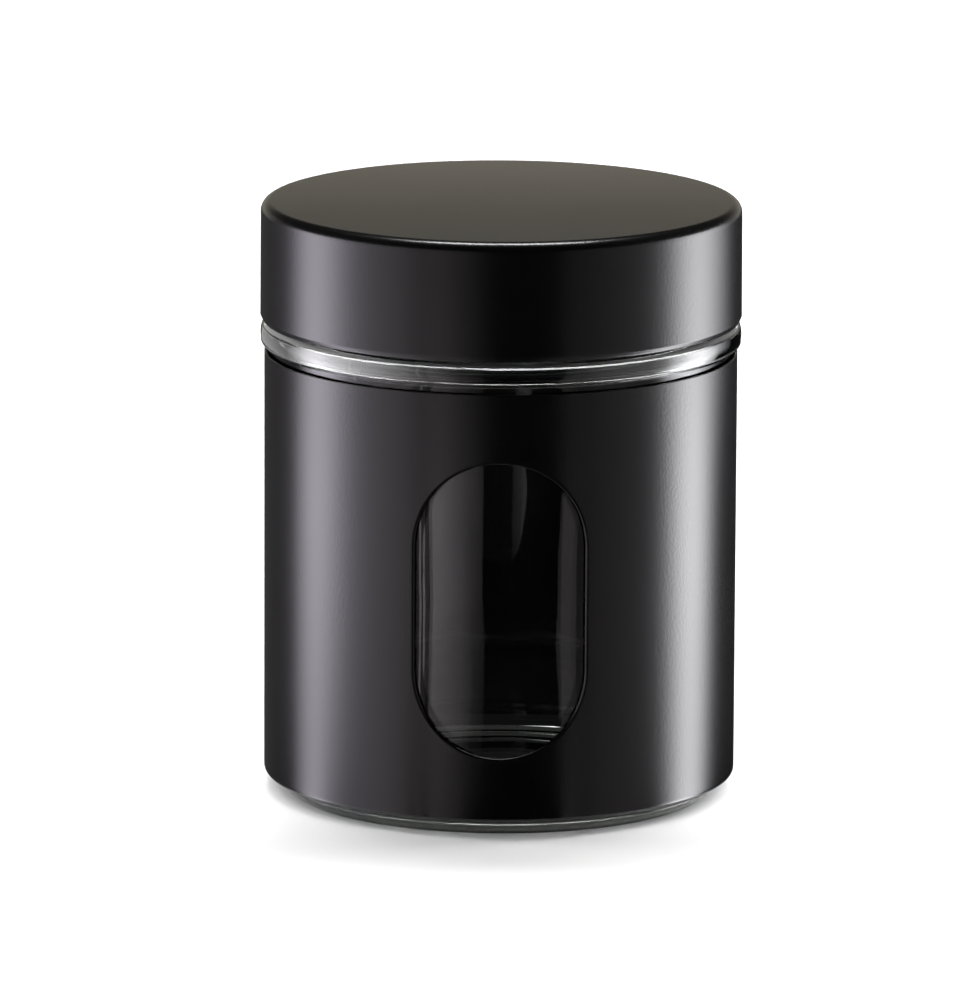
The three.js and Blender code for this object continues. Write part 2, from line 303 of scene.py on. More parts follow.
place = dict(Angle=angle, Height=height)
thread_place = dict(Depth=given["Thread Depth"], Middle=given["Thread Middle"], **place)
thread = use_group(tree, thread_rule, **thread_place)["Offset"]
on_wall = calc(tree, "COMPARE", radius, given["Thread Wall"], WALL_TOLERANCE)
mark_place = dict(Depth=given["Mark Depth"], Middle=MARK_MIDDLE, **place)
marks = use_group(tree, mark_rule, **mark_place)["Offset"]
on_foot = calc(tree, "GREATER_THAN", radius, given["Mark Wall"])
radius = calc(tree, "MULTIPLY_ADD", thread, on_wall, radius)
radius = calc(tree, "MULTIPLY_ADD", marks, on_foot, radius)
on_outside = calc(tree, "GREATER_THAN", radius, given["Joint Wall"])
for joint in ("Shoulder Joint", "Heel Joint"):
    joint_place = dict(Depth=given["Joint Depth"], Middle=given[joint], **place)
    ridge = use_group(tree, joint_rule, **joint_place)["Offset"]
    radius = calc(tree, "MULTIPLY_ADD", ridge, on_outside, radius)

x = calc(tree, "MULTIPLY", radius, calc(tree, "COSINE", angle))
y = calc(tree, "MULTIPLY", radius, calc(tree, "SINE", angle))
bent = add(tree, "ShaderNodeCombineXYZ", X=x, Y=y, Z=height).outputs[0]
shaped = add(tree, "GeometryNodeSetPosition", Geometry=grid.outputs["Mesh"], Position=bent)
closed = add(tree, "GeometryNodeMergeByDistance", Geometry=shaped.outputs[0], Distance=CLOSING_GAP)
painted = add(tree, "GeometryNodeSetMaterial", Geometry=closed.outputs[0], Material=given["Finish"])
feed(tree, painted.outputs[0], made["Piece"])
print("turning tree:", len(tree.nodes), "nodes")

# %% Running a tree
def plain_mesh(name, source, tree, values):
    """Runs a tree on a source mesh and returns the result as a plain smooth mesh object."""
    holder = bpy.data.objects.new(name + "_source", source)
    scene.collection.objects.link(holder)
    modifier = holder.modifiers.new("rule", "NODES")
    modifier.node_group = tree
    for item in tree.interface.items_tree:
        if item.item_type == "SOCKET" and item.in_out == "INPUT" and item.name in values:
            modifier[item.identifier] = values[item.name]
    depsgraph = bpy.context.evaluated_depsgraph_get()
    mesh = bpy.data.meshes.new_from_object(holder.evaluated_get(depsgraph))
    mesh.name = name
    holder.modifiers.remove(modifier)
    bpy.data.objects.remove(holder)
    return finished(name, mesh)


def finished(name, mesh):
    """Turns all faces outwards, shades them smooth and puts the mesh in the scene."""
    work = bmesh.new()
    work.from_mesh(mesh)
    bmesh.ops.dissolve_degenerate(work, dist=1e-7, edges=work.edges)
    bmesh.ops.recalc_face_normals(work, faces=work.faces)
    for face in work.faces:
        face.smooth = True
    open_edges = sum(1 for edge in work.edges if not edge.is_manifold)
    volume = work.calc_volume(signed=True) / MM**3
    work.to_mesh(mesh)
    work.free()
    piece = bpy.data.objects.new(name, mesh)
    scene.collection.objects.link(piece)
    print(f"{name}: {len(mesh.polygons)} faces, {open_edges} open edges, {volume:.0f} cubic mm")
    return piece


def turned(name, profile, finish, segments, **lengths):
    """A turned piece from its profile. The profile and the lengths for the rules are in millimetres."""
    mesh = bpy.data.meshes.new(name + "_profile")
    points = [(radius * MM, 0.0, height * MM) for radius, height in profile]
    mesh.from_pydata(points, [(k, k + 1) for k in range(len(points) - 1)], [])
    values = {title.replace("_", " "): length * MM for title, length in lengths.items()}
    return plain_mesh(name, mesh, turning, {**values, "Segments": segments, "Finish": finish})


# %% [markdown]
# ## Shared surface effects
# Sprayed lacquer is never perfectly even. It has a fine pebbled skin, patches that are a little more or
# less glossy, and a few specks of dust. Moulded plastic shares the pebbled skin. The effects are shader
# groups with named inputs, so each finish can use its own amounts.

# %% Fine skin
PEBBLE_SHARE = 0.6
skin, given, made = new_group(
    "fine_skin",
    SHADER,
    numbers(Roughness=0.4, Spread=0.05, Pebble_Scale=1600.0, Patch_Scale=45.0),
    [("Roughness", NUMBER), ("Height", NUMBER)],
)
place = object_place(skin)
pebble = noise(skin, place, given["Pebble Scale"], detail=2.0)
patch = noise(skin, place, given["Patch Scale"], detail=3.0)
broad = calc(skin, "MULTIPLY", patch, 1 - PEBBLE_SHARE)
mixed = calc(skin, "MULTIPLY_ADD", pebble, PEBBLE_SHARE, broad)
shift = calc(skin, "MULTIPLY", calc(skin, "SUBTRACT", mixed, 0.5), given["Spread"])
feed(skin, calc(skin, "ADD", given["Roughness"], shift), made["Roughness"])
feed(skin, pebble, made["Height"])
print("fine skin:", len(skin.nodes), "nodes")

# %% Dust specks
dust, given, made = new_group(
    "dust_specks", SHADER, numbers(Scale=160.0, Size=0.05, Share=0.1), [("Mask", NUMBER)]
)
cells = add(dust, "ShaderNodeTexVoronoi", Vector=object_place(dust), Scale=given["Scale"])
pick = add(dust, "ShaderNodeSeparateColor", Color=cells.outputs["Color"])
chosen = calc(dust, "LESS_THAN", pick.outputs[0], given["Share"])
spot = smooth(dust, cells.outputs["Distance"], given["Size"], 0.0)
feed(dust, calc(dust, "MULTIPLY", chosen, spot), made["Mask"])
print("dust specks:", len(dust.nodes), "nodes")

# %% Material helpers
MIX_BASE, MIX_OTHER, MIX_RESULT = 6, 7, 2


def new_material(name):
    """A node material, its tree and its Principled shader."""
    material = bpy.data.materials.new(name)
    material.use_nodes = True
    return material, material.node_tree, material.node_tree.nodes["Principled BSDF"]


def relief(tree, shader, height, strength, distance):
    """A bump on the shader's normal."""
    node = add(tree, "ShaderNodeBump", Strength=strength, Distance=distance, Height=height)
    feed(tree, node.outputs[0], shader.inputs["Normal"])


def blend_colour(tree, mask, base, other):
    """Mixes two colours by a mask."""
    node = add(tree, "ShaderNodeMix", Factor=mask)
    node.data_type = "RGBA"
    feed(tree, base, node.inputs[MIX_BASE])
    feed(tree, other, node.inputs[MIX_OTHER])
    return node.outputs[MIX_RESULT]


def speckled(name, colour, speck_colour, gloss, specks, bump):
    """A finish with a pebbled skin and specks of dust, from values for the two groups and the bump."""
    material, tree, shader = new_material(name)
    surface = use_group(tree, skin, **gloss)
    mask = use_group(tree, dust, **specks)["Mask"]
    mixed = blend_colour(tree, mask, colour, speck_colour)
    feed_all(tree, shader, Base_Color=mixed, Roughness=surface["Roughness"])
    relief(tree, shader, surface["Height"], **bump)
    return material


# %% [markdown]
# ## Satin black lacquer
# The sleeve and the cap are sprayed satin black. Black lacquer shows almost no colour of its own, only
# a soft reflection of what stands round it, so its roughness is the most important number here.

# %% Lacquer
LACQUER = dict(
    colour=(0.0024, 0.0022, 0.0023, 1.0),
    speck_colour=(0.20, 0.19, 0.18, 1.0),
    specks=dict(Share=0.012),
    bump=dict(strength=0.07, distance=0.0004),
)
sleeve_lacquer = speckled("satin_black_sleeve", gloss=dict(Roughness=0.24, Spread=0.07), **LACQUER)
cap_lacquer = speckled("satin_black_cap", gloss=dict(Roughness=0.25, Spread=0.07), **LACQUER)
print("lacquers:", sleeve_lacquer.name, cap_lacquer.name)

# %% [markdown]
# ## Glass
# The glass is clear, with a faint green in its thick foot. The colour of glass is not on its surface but
# in its depth, so a volume that absorbs a little red and blue gives it. Moulded glass is never quite
# flat, and a slow, weak bump bends the reflections as the real wall does. The two halves of the
# mould leave a hairline up both sides of the glass, and it is part of the same bump.

# %% Glass
SEAM_AZIMUTH = math.radians(-38)
SEAM_REACH = 0.00022
SEAM_HEIGHT = 0.12
SMEAR_ROUGHNESS = 0.03
clear_glass, tree, shader = new_material("clear_glass")
place = object_place(tree)
smear = smooth(tree, noise(tree, place, scale=90.0, detail=4.0), start=0.45, end=0.8)
dull = calc(tree, "MULTIPLY", smear, SMEAR_ROUGHNESS)
feed_all(tree, shader, Base_Color=(1.0, 1.0, 1.0, 1.0), Transmission_Weight=1.0, IOR=1.52, Roughness=dull)
wavy = noise(tree, place, scale=38.0, detail=1.0)
across_seam = add(tree, "ShaderNodeVectorMath")
across_seam.operation = "DOT_PRODUCT"
feed(tree, place, across_seam.inputs[0])
feed(tree, (math.cos(SEAM_AZIMUTH), math.sin(SEAM_AZIMUTH), 0.0), across_seam.inputs[1])
hairline = smooth(tree, calc(tree, "ABSOLUTE", across_seam.outputs["Value"]), SEAM_REACH, 0.0)
uneven = calc(tree, "MULTIPLY_ADD", hairline, SEAM_HEIGHT, wavy)
relief(tree, shader, uneven, strength=0.25, distance=0.0012)
absorb = add(tree, "ShaderNodeVolumeAbsorption", Color=(0.70, 0.86, 0.78, 1.0), Density=22.0)
feed(tree, absorb.outputs[0], tree.nodes["Material Output"].inputs["Volume"])
print("glass:", clear_glass.name)

# %% [markdown]
# ## Liner plastic and seal
# Neither shows while the lid is on. The liner is black moulded plastic with a fine matt skin and the odd
# crumb of dust. The seal is soft off-white rubber, a little cloudy.

# %% Liner and seal finishes
liner_plastic = speckled(
    "black_moulded_plastic",
    colour=(0.022, 0.022, 0.024, 1.0),
    speck_colour=(0.12, 0.12, 0.11, 1.0),
    gloss=dict(Roughness=0.52, Spread=0.12, Pebble_Scale=900.0, Patch_Scale=70.0),
    specks=dict(Share=0.05, Scale=220.0),
    bump=dict(strength=0.3, distance=0.0003),
)

SEAL_WHITE, SEAL_CLOUD = (0.74, 0.73, 0.69, 1.0), (0.80, 0.79, 0.75, 1.0)
seal_rubber, tree, shader = new_material("white_soft_rubber")
surface = use_group(tree, skin, Roughness=0.6, Spread=0.15, Pebble_Scale=700.0, Patch_Scale=90.0)
cloud = smooth(tree, noise(tree, object_place(tree), scale=60.0, detail=3.0), start=0.3, end=0.7)
colour = blend_colour(tree, cloud, SEAL_WHITE, SEAL_CLOUD)
feed_all(tree, shader, Base_Color=colour, Roughness=surface["Roughness"])
feed_all(tree, shader, Subsurface_Weight=0.15, Subsurface_Radius=(0.002, 0.002, 0.002))
relief(tree, shader, surface["Height"], strength=0.2, distance=0.0002)
print("finishes:", liner_plastic.name, seal_rubber.name)

# %% [markdown]
# ## Glass body
# The profile starts under the floor, runs out over the standing ring and the rounded heel, climbs the
# wall to a small recess, the shoulder bead and the neck, and comes back down inside. The rows lie close
# together along the neck, because the thread is pushed out of them, and where the joints of the mould
# run round the heel and the bead.

# %% Glass profile
WALL_OUT = 48.6
WALL_IN = 45.6
FLOOR = 3.4
FLOOR_CORNER = 5.0
HEEL = 8.0
HEEL_RADIUS = 9.719
STAND_OUT = 44.4
STAND_IN = 40.4
PUNT, PUNT_PULL = 1.2, 30.3
BEAD = 50.45
BEAD_ROUND = 5.6
BEAD_MIDDLE = 97.6
BEAD_LIFT = 16.0
BEAD_CORNER = 0.6
BEAD_LOW = 95.3
LOW_CORNER = 0.45
RECESS = 0.4
SHOULDER_JOINT = 95.95
HEEL_JOINT = 2.35
JOINT_REACH = 0.25
JOINT_DEPTH = 0.17
JOINT_ROWS = 12
JOINT_WALL = WALL_IN + 0.3
NECK = 44.3
NECK_ROWS = (106.5, 119.5, 0.3)
NECK_FILLET = 1.0
BORE = 40.9
RIM = 121.679
RIM_ROUND = 1.2
SHOULDER_LOW, SHOULDER_HIGH, SHOULDER_PULL = 94.579, 101.079, 0.55
THREAD_MIDDLE = 112.979
THREAD_DEPTH = 1.4
MARK_DEPTH = 0.18
MARK_WALL = STAND_OUT + 0.05


def jointed_arc(centre, radius, start, end, joint, steps):
    """A round arc with close rows where the ridge of a mould joint stands out of it."""
    at = math.degrees(math.asin((joint - centre[1]) / radius))
    half = math.degrees(JOINT_REACH / radius)
    joined = (at - half, at + half, JOINT_ROWS)
    rows = []
    for first, last, count in [(start, at - half, steps), joined, (at + half, end, steps)]:
        rows += arc(centre, radius, first, last, count)
    return rows


under = bezier([(0.0, PUNT), (PUNT_PULL, PUNT), (STAND_IN, 0.0)], 12)
heel_sweep = math.degrees(math.asin(HEEL / HEEL_RADIUS))
heel_centre = (WALL_OUT - HEEL_RADIUS, HEEL)
heel = jointed_arc(heel_centre, HEEL_RADIUS, -heel_sweep, 0, HEEL_JOINT, 14)
heel[0] = (heel[0][0], 0.0)
bead_centre = (BEAD - BEAD_ROUND, BEAD_MIDDLE)
low_inset = BEAD_ROUND - LOW_CORNER
low_start = -math.degrees(math.asin((BEAD_MIDDLE - BEAD_LOW - LOW_CORNER) / low_inset))
low_centre = arc(bead_centre, low_inset, low_start, low_start, 1)[0]
recess = arc((WALL_OUT + RECESS, BEAD_LOW - RECESS), RECESS, 180, 90, 6)
low_corner = arc(low_centre, LOW_CORNER, -90, low_start, 8)
bulge = jointed_arc(bead_centre, BEAD_ROUND, low_start, BEAD_LIFT, SHOULDER_JOINT, 12)
inset = BEAD_ROUND - BEAD_CORNER
corner_centre = arc(bead_centre, inset, BEAD_LIFT, BEAD_LIFT, 1)[0]
corner = arc(corner_centre, BEAD_CORNER, BEAD_LIFT, 90, 8)
ledge = corner[-1][1]
bead = recess + low_corner + bulge + corner
root = arc((NECK + NECK_FILLET, ledge + NECK_FILLET), NECK_FILLET, 270, 180, 6)
neck = upright(NECK, *NECK_ROWS)
rim_out = arc((NECK - RIM_ROUND, RIM - RIM_ROUND), RIM_ROUND, 0, 90, 7)
rim_in = arc((BORE + RIM_ROUND, RIM - RIM_ROUND), RIM_ROUND, 90, 180, 7)
pull = SHOULDER_PULL * (SHOULDER_HIGH - SHOULDER_LOW)
upper_pull, lower_pull = (BORE, SHOULDER_HIGH - pull), (WALL_IN, SHOULDER_LOW + pull)
inner_shoulder = bezier([(BORE, SHOULDER_HIGH), upper_pull, lower_pull, (WALL_IN, SHOULDER_LOW)], 16)
inner_corner = arc((WALL_IN - FLOOR_CORNER, FLOOR + FLOOR_CORNER), FLOOR_CORNER, 0, -90, 12)
outside = under + heel + bead + root + neck + rim_out
inside = rim_in + inner_shoulder + inner_corner + [(0.0, FLOOR)]
glass_profile = supported(outside + inside, longest=12.0)
glass_body = turned(
    "glass_body",
    glass_profile,
    clear_glass,
    segments=360,
    Thread_Depth=THREAD_DEPTH,
    Thread_Middle=THREAD_MIDDLE,
    Thread_Wall=NECK,
    Mark_Depth=MARK_DEPTH,
    Mark_Wall=MARK_WALL,
    Joint_Depth=JOINT_DEPTH,
    Joint_Wall=JOINT_WALL,
    Shoulder_Joint=SHOULDER_JOINT,
    Heel_Joint=HEEL_JOINT,
)
print(len(glass_profile), "profile rows, shoulder ledge at", round(ledge, 3), "mm")

# %% [markdown]
# ## Sleeve
# The sleeve is one sheet, rolled round the glass. It has an oblong window whose edge turns in towards
# the glass, a lower edge that is turned in under the heel, and a fine seam down the back where the
# sheet's ends meet. A regular grid makes the wall. Round the window it gives way to rings that follow
# the oblong and open out to the grid, so the turned-in edge has clean rows of its own. A boolean cut
# would leave ragged faces where the light catches. Solidify then gives the sheet its thickness.

# %% Sleeve sizes
SLEEVE_OUT = 49.65
SHEET = 0.45
SLEEVE_TOP = 93.7
SLEEVE_LOW = 3.55
ROLL_RADIUS = 1.5
ROLL_ANGLE = 58.0
ROLL_STEPS = (0.3, 1.0)
TOP_STEPS = (1.0, 0.5, 0.2, 0.0)
WINDOW_HALF = 17.75
WINDOW_TALL = 62.0
WINDOW_MIDDLE = 48.1
LIP_RADIUS = 0.7
SLEEVE_COLUMNS = 256
PATCH_COLUMNS = 24
PATCH_LOW, PATCH_HIGH, PATCH_ROWS = 8.0, 92.0, 48
RING_SPREAD = 1.6
CUT_EASE, CUT_ANGLE = 0.07, 50
SEAM_DEPTH, SEAM_HALF = 0.10, 0.3
SEAM_STEPS = (-0.5, -0.28, -0.12, 0.0, 0.12, 0.28, 0.5)

window_half = SLEEVE_OUT * math.asin(WINDOW_HALF / SLEEVE_OUT)
spine = WINDOW_TALL / 2 - window_half
print("window on the flat sheet:", round(2 * window_half, 2), "by", WINDOW_TALL, "mm")

# %% Sleeve rows and columns
roll_top = SLEEVE_LOW + ROLL_RADIUS * math.sin(math.radians(ROLL_ANGLE))
roll = arc((SLEEVE_OUT - ROLL_RADIUS, roll_top), ROLL_RADIUS, -ROLL_ANGLE, 0, 10)
roll_rows = roll + [(SLEEVE_OUT, roll_top + rise) for rise in ROLL_STEPS]
patch_rows = upright(SLEEVE_OUT, PATCH_LOW, PATCH_HIGH, (PATCH_HIGH - PATCH_LOW) / PATCH_ROWS)
top_rows = [(SLEEVE_OUT, SLEEVE_TOP - drop) for drop in TOP_STEPS]
sleeve_rows = roll_rows + patch_rows + top_rows
first_row = len(roll_rows)
last_row = first_row + PATCH_ROWS

step = math.tau / SLEEVE_COLUMNS
regular = [k * step for k in range(-SLEEVE_COLUMNS // 2 + 1, SLEEVE_COLUMNS // 2)]
seam = [math.pi + offset / SLEEVE_OUT for offset in SEAM_STEPS]
sleeve_columns = regular + seam
first_column = regular.index(-PATCH_COLUMNS * step)
last_column = regular.index(PATCH_COLUMNS * step)
print(len(sleeve_rows), "rows,", len(sleeve_columns), "columns")

# %% Sleeve sheet
vertices = []
faces = []


def sheet_point(angle, radius, height):
    """Adds a vertex on the rolled sheet. Angle 0 is the middle of the window."""
    vertices.append((radius * math.sin(angle) * MM, -radius * math.cos(angle) * MM, height * MM))
    return len(vertices) - 1


def in_patch(row, column, margin):
    """True inside the part of the grid that the rings round the window take over."""
    inside_rows = first_row + margin <= row <= last_row - margin
    return inside_rows and first_column + margin <= column <= last_column - margin


grid_index = {}
for row, (radius, height) in enumerate(sleeve_rows):
    for column, angle in enumerate(sleeve_columns):
        if not in_patch(row, column, 1):
            groove = SEAM_DEPTH * max(0.0, 1 - abs(angle - math.pi) * SLEEVE_OUT / SEAM_HALF)
            grid_index[row, column] = sheet_point(angle, radius - groove, height)
count = len(sleeve_columns)
for row in range(len(sleeve_rows) - 1):
    for column in range(count):
        beside = (column + 1) % count
        if not (in_patch(row, column, 0) and in_patch(row + 1, beside, 0)):
            corners = [(row, column), (row, beside), (row + 1, beside), (row + 1, column)]
            faces.append([grid_index[key] for key in corners])
print(len(vertices), "grid points,", len(faces), "grid faces")

# %% Rings round the window
border = [(first_row, c) for c in range(first_column, last_column)]
border += [(r, last_column) for r in range(first_row, last_row)]
border += [(last_row, c) for c in range(last_column, first_column, -1)]
border += [(r, first_column) for r in range(last_row, first_row, -1)]
LIP_STEPS = 9
OUT_STEPS = 14
rings = [[] for _ in range(LIP_STEPS + OUT_STEPS)]
for row, column in border:
    along = sleeve_columns[column] * SLEEVE_OUT
    rise = sleeve_rows[row][1] - WINDOW_MIDDLE
    anchor = max(-spine, min(spine, rise))
    reach = math.hypot(along, rise - anchor)
    across, up = along / reach, (rise - anchor) / reach
    for k in range(LIP_STEPS + OUT_STEPS):
        if k < LIP_STEPS:
            turn = math.radians(90 * (1 - k / (LIP_STEPS - 1)))
            away = LIP_RADIUS * (1 - math.sin(turn))
            drop = LIP_RADIUS * (1 - math.cos(turn))
        else:
            share = ((k - LIP_STEPS + 1) / (OUT_STEPS + 1)) ** RING_SPREAD
            away = LIP_RADIUS + (reach - window_half - LIP_RADIUS) * share
            drop = 0.0
        distance = window_half + away
        angle = across * distance / SLEEVE_OUT
        height = WINDOW_MIDDLE + anchor + up * distance
        rings[k].append(sheet_point(angle, SLEEVE_OUT - drop, height))
rings.append([grid_index[key] for key in border])
for inner, outer in zip(rings, rings[1:]):
    for k in range(len(border)):
        after = (k + 1) % len(border)
        faces.append([outer[k], outer[after], inner[after], inner[k]])
print(len(border), "points in each of", len(rings), "rings")

# %% Thickness of the sheet
sheet_mesh = bpy.data.meshes.new("sleeve_sheet")
sheet_mesh.from_pydata(vertices, [], faces)
sheet_mesh.materials.append(sleeve_lacquer)
sheet = bpy.data.objects.new("sleeve_sheet", sheet_mesh)
scene.collection.objects.link(sheet)
thicken = sheet.modifiers.new("thickness", "SOLIDIFY")
thicken.thickness = SHEET * MM
thicken.offset = -1.0
thicken.use_even_offset = True
ease = sheet.modifiers.new("cut_edges", "BEVEL")
ease.width = CUT_EASE * MM
ease.segments = 2
ease.limit_method = "ANGLE"
ease.angle_limit = math.radians(CUT_ANGLE)
evaluated = sheet.evaluated_get(bpy.context.evaluated_depsgraph_get())
sleeve_mesh = bpy.data.meshes.new_from_object(evaluated)
bpy.data.objects.remove(sheet)
sleeve = finished("black_sleeve", sleeve_mesh)

# %% [markdown]
# ## Lid
# The cap is drawn from sheet: a flat top, a rounded edge, a wall with a little draft, and a lower rim
# that curls in and holds the liner. The liner fills the cap. Inside it carries the four short threads
# that run under those of the neck, a bead that keeps the seal in, and outside a flange and ribs that
# stiffen it. The seal is a flat ring.

# %% Cap
LID = 50.5
LID_DRAFT = 0.1
LID_TOP = 125.529
LID_LOW = 100.479
LID_CORNER = 2.2
CURL_DEPTH, CURL_HEIGHT, CURL_RETURN = 0.9, 1.25, 0.4
RIM_BEND = LID_LOW + 1.15
curl = (LID - CURL_DEPTH, LID_LOW + CURL_HEIGHT)
edge = (LID - LID_DRAFT - LID_CORNER, LID_TOP - LID_CORNER)
bend = [(curl[0], LID_LOW), (LID - 0.35, LID_LOW), (LID - 0.3, LID_LOW + 0.6), (LID, RIM_BEND)]
cap_profile = supported(
    [(0.0, LID_TOP - SHEET)]
    + arc(edge, LID_CORNER - SHEET, 90, 0, 12)
    + arc(curl, CURL_DEPTH - SHEET, 0, -90, 8, up=CURL_HEIGHT - SHEET)
    + arc((curl[0] - CURL_RETURN, LID_LOW + SHEET / 2), SHEET / 2, 90, 270, 6)
    + bezier(bend, 10)
    + arc(edge, LID_CORNER, 0, 90, 18)
    + [(0.0, LID_TOP)]
)
cap = turned("lid_cap", cap_profile, cap_lacquer, segments=256)
print(len(cap_profile), "cap rows")

# %% Liner
SKIRT_IN, SKIRT_OUT, LINER_OUT = 46.15, 47.65, 49.75
WEB_LOW, WEB_TOP = 123.579, 124.779
FLANGE_LOW, FLANGE_HIGH = 101.229, 103.229
HOLD, HOLD_TOP, HOLD_LOW, HOLD_SLOPE = 45.4, 121.679, 121.079, 0.2
SKIRT_ROWS = (118.0, 104.0, 0.35)
LINER_CORNER, LINER_CORNER_START = 2.25, 27.8
LUG_MIDDLE = 110.818
liner_edge = (LINER_OUT - LINER_CORNER, WEB_TOP - LINER_CORNER)
liner_profile = supported(
    [(0.0, WEB_LOW), (SKIRT_IN, WEB_LOW), (SKIRT_IN, HOLD_TOP), (HOLD, HOLD_TOP - HOLD_SLOPE)]
    + [(HOLD, HOLD_LOW + HOLD_SLOPE), (SKIRT_IN, HOLD_LOW)]
    + upright(SKIRT_IN, *SKIRT_ROWS)
    + [(SKIRT_IN, FLANGE_LOW), (LID - CURL_DEPTH, FLANGE_LOW), (LINER_OUT, LID_LOW + CURL_HEIGHT)]
    + [(LINER_OUT, FLANGE_HIGH), (SKIRT_OUT, FLANGE_HIGH), (SKIRT_OUT, WEB_LOW)]
    + arc(liner_edge, LINER_CORNER, LINER_CORNER_START, 90, 8)
    + [(0.0, WEB_TOP)]
)
liner = turned(
    "lid_liner_body",
    liner_profile,
    liner_plastic,
    segments=192,
    Thread_Depth=-THREAD_DEPTH,
    Thread_Middle=LUG_MIDDLE,
    Thread_Wall=SKIRT_IN,
)
print(len(liner_profile), "liner rows")

# %% [markdown]
# The ribs stand in a ring between the skirt of the liner and the cap. They are a plain repeat, so a
# second tree places one rib on each point of a circle and turns it to face outwards.

# %% Liner ribs
RIB_COUNT, RIB_DEPTH, RIB_WIDTH = 16, 1.4, 1.2
RIB_SINK, RIB_TAPER = 0.4, 0.7
rib_tree, given, made = new_group(
    "ring_of_ribs",
    GEOMETRY,
    [("Rib", SHAPE, None), ("Count", WHOLE, 1), ("Radius", NUMBER, 0.0), ("Finish", FINISH, None)],
    [("Ribs", SHAPE)],
)
tree = rib_tree
circle = add(tree, "GeometryNodeMeshCircle", Vertices=given["Count"], Radius=given["Radius"])
number = add(tree, "GeometryNodeInputIndex").outputs[0]
angle = calc(tree, "MULTIPLY", number, calc(tree, "DIVIDE", math.tau, given["Count"]))
turn_to = add(tree, "ShaderNodeCombineXYZ", Z=angle).outputs[0]
placed = add(tree, "GeometryNodeInstanceOnPoints")
feed_all(tree, placed, Points=circle.outputs[0], Instance=given["Rib"], Rotation=turn_to)
solid_ribs = add(tree, "GeometryNodeRealizeInstances", Geometry=placed.outputs[0])
painted = add(tree, "GeometryNodeSetMaterial", Geometry=solid_ribs.outputs[0], Material=given["Finish"])
feed(tree, painted.outputs[0], made["Ribs"])

rib_shape = bmesh.new()
bmesh.ops.create_cube(rib_shape, size=1.0)
rib_low, rib_high = FLANGE_HIGH - RIB_SINK, WEB_LOW + RIB_SINK
for vertex in rib_shape.verts:
    x, y, z = vertex.co
    narrow = 1.0 if x < 0 else RIB_TAPER
    depth = (x + 0.5) * (RIB_DEPTH + RIB_SINK) - RIB_SINK
    vertex.co = Vector((depth, y * RIB_WIDTH * narrow, rib_low + (z + 0.5) * (rib_high - rib_low))) * MM
rib_mesh = bpy.data.meshes.new("rib")
rib_shape.to_mesh(rib_mesh)
rib_shape.free()
rib_values = {"Count": RIB_COUNT, "Radius": SKIRT_OUT * MM, "Finish": liner_plastic}
ribs = plain_mesh("lid_liner_ribs", rib_mesh, rib_tree, rib_values)
for polygon in ribs.data.polygons:
    polygon.use_smooth = False
print(RIB_COUNT, "ribs")

# %% Seal
SEAL_IN, SEAL_OUT, SEAL_LOW, SEAL_TOP = 40.65, 45.85, 121.829, 123.429
SEAL_ROUND = 0.25
near, far = SEAL_IN + SEAL_ROUND, SEAL_OUT - SEAL_ROUND
low, high = SEAL_LOW + SEAL_ROUND, SEAL_TOP - SEAL_ROUND
seal_points = []
for place, start in [((near, low), 180), ((far, low), 270), ((far, high), 0), ((near, high), 90)]:
    seal_points += arc(place, SEAL_ROUND, start, start + 90, 4)
seal_profile = supported(seal_points + [(SEAL_IN, low)])
seal = turned("lid_seal_ring", seal_profile, seal_rubber, segments=192)

# %% [markdown]
# ## Studio
# The jar stands on a plain white floor. The far floor adds a little light of its own for the camera and
# for reflections, so it stays white up to the edge of the picture. A ring of floor just beside the foot
# glows as well, a painted light that lightens the shadow there. Under the jar it adds almost none, and a
# soft shadow round the foot stays.

# %% Floor
FLOOR_SIZE = 4000.0
FOOT_EDGE, FAR_EDGE = (0.0446, 0.0505), (0.05, 0.2)
UNDER_GLOW, BESIDE_GLOW, FAR_GLOW = 0.01, 0.25, 0.5
floor_white, tree, shader = new_material("floor_white")
from_jar = add(tree, "ShaderNodeVectorMath")
from_jar.operation = "LENGTH"
feed(tree, object_place(tree), from_jar.inputs[0])
beside = smooth(tree, from_jar.outputs["Value"], *FOOT_EDGE)
far = smooth(tree, from_jar.outputs["Value"], *FAR_EDGE)
rays = add(tree, "ShaderNodeLightPath").outputs
seen = calc(tree, "MAXIMUM", rays["Is Camera Ray"], rays["Is Glossy Ray"])
seen = calc(tree, "MAXIMUM", seen, rays["Is Transmission Ray"])
# Painted light: the floor just beside the foot glows and lightens its shadow.
glow = calc(tree, "MULTIPLY_ADD", beside, BESIDE_GLOW, UNDER_GLOW)
glow = calc(tree, "MULTIPLY_ADD", far, FAR_GLOW, glow)
glow = calc(tree, "MULTIPLY", glow, seen)
feed_all(tree, shader, Base_Color=(0.9, 0.9, 0.9, 1.0), Roughness=0.9, Specular_IOR_Level=0.0)
feed_all(tree, shader, Emission_Color=(1.0, 1.0, 1.0, 1.0), Emission_Strength=glow)
half = FLOOR_SIZE * MM
mesh = bpy.data.meshes.new("floor")
corners = [(-half, -half, 0), (half, -half, 0), (half, half, 0), (-half, half, 0)]
mesh.from_pydata(corners, [], [(0, 1, 2, 3)])
mesh.materials.append(floor_white)
piece = bpy.data.objects.new("floor", mesh)
scene.collection.objects.link(piece)
print("floor:", piece.name)

# %% [markdown]
# ## Cards
# Black lacquer and clear glass show little but what they mirror. So the upright highlights, the grey
# panel in the window and the black middle all come from cards round the jar, which the camera does not
# see. A card is a strip of points, and each point has its own grey.

# %% Places for cards
CARD_LIFT = 1.0


def around(azimuth, distance, height):
    """A place round the jar: azimuth 0 is towards the camera, positive to the right."""
    turn = math.radians(azimuth)
    return (distance * math.sin(turn), -distance * math.cos(turn), height)


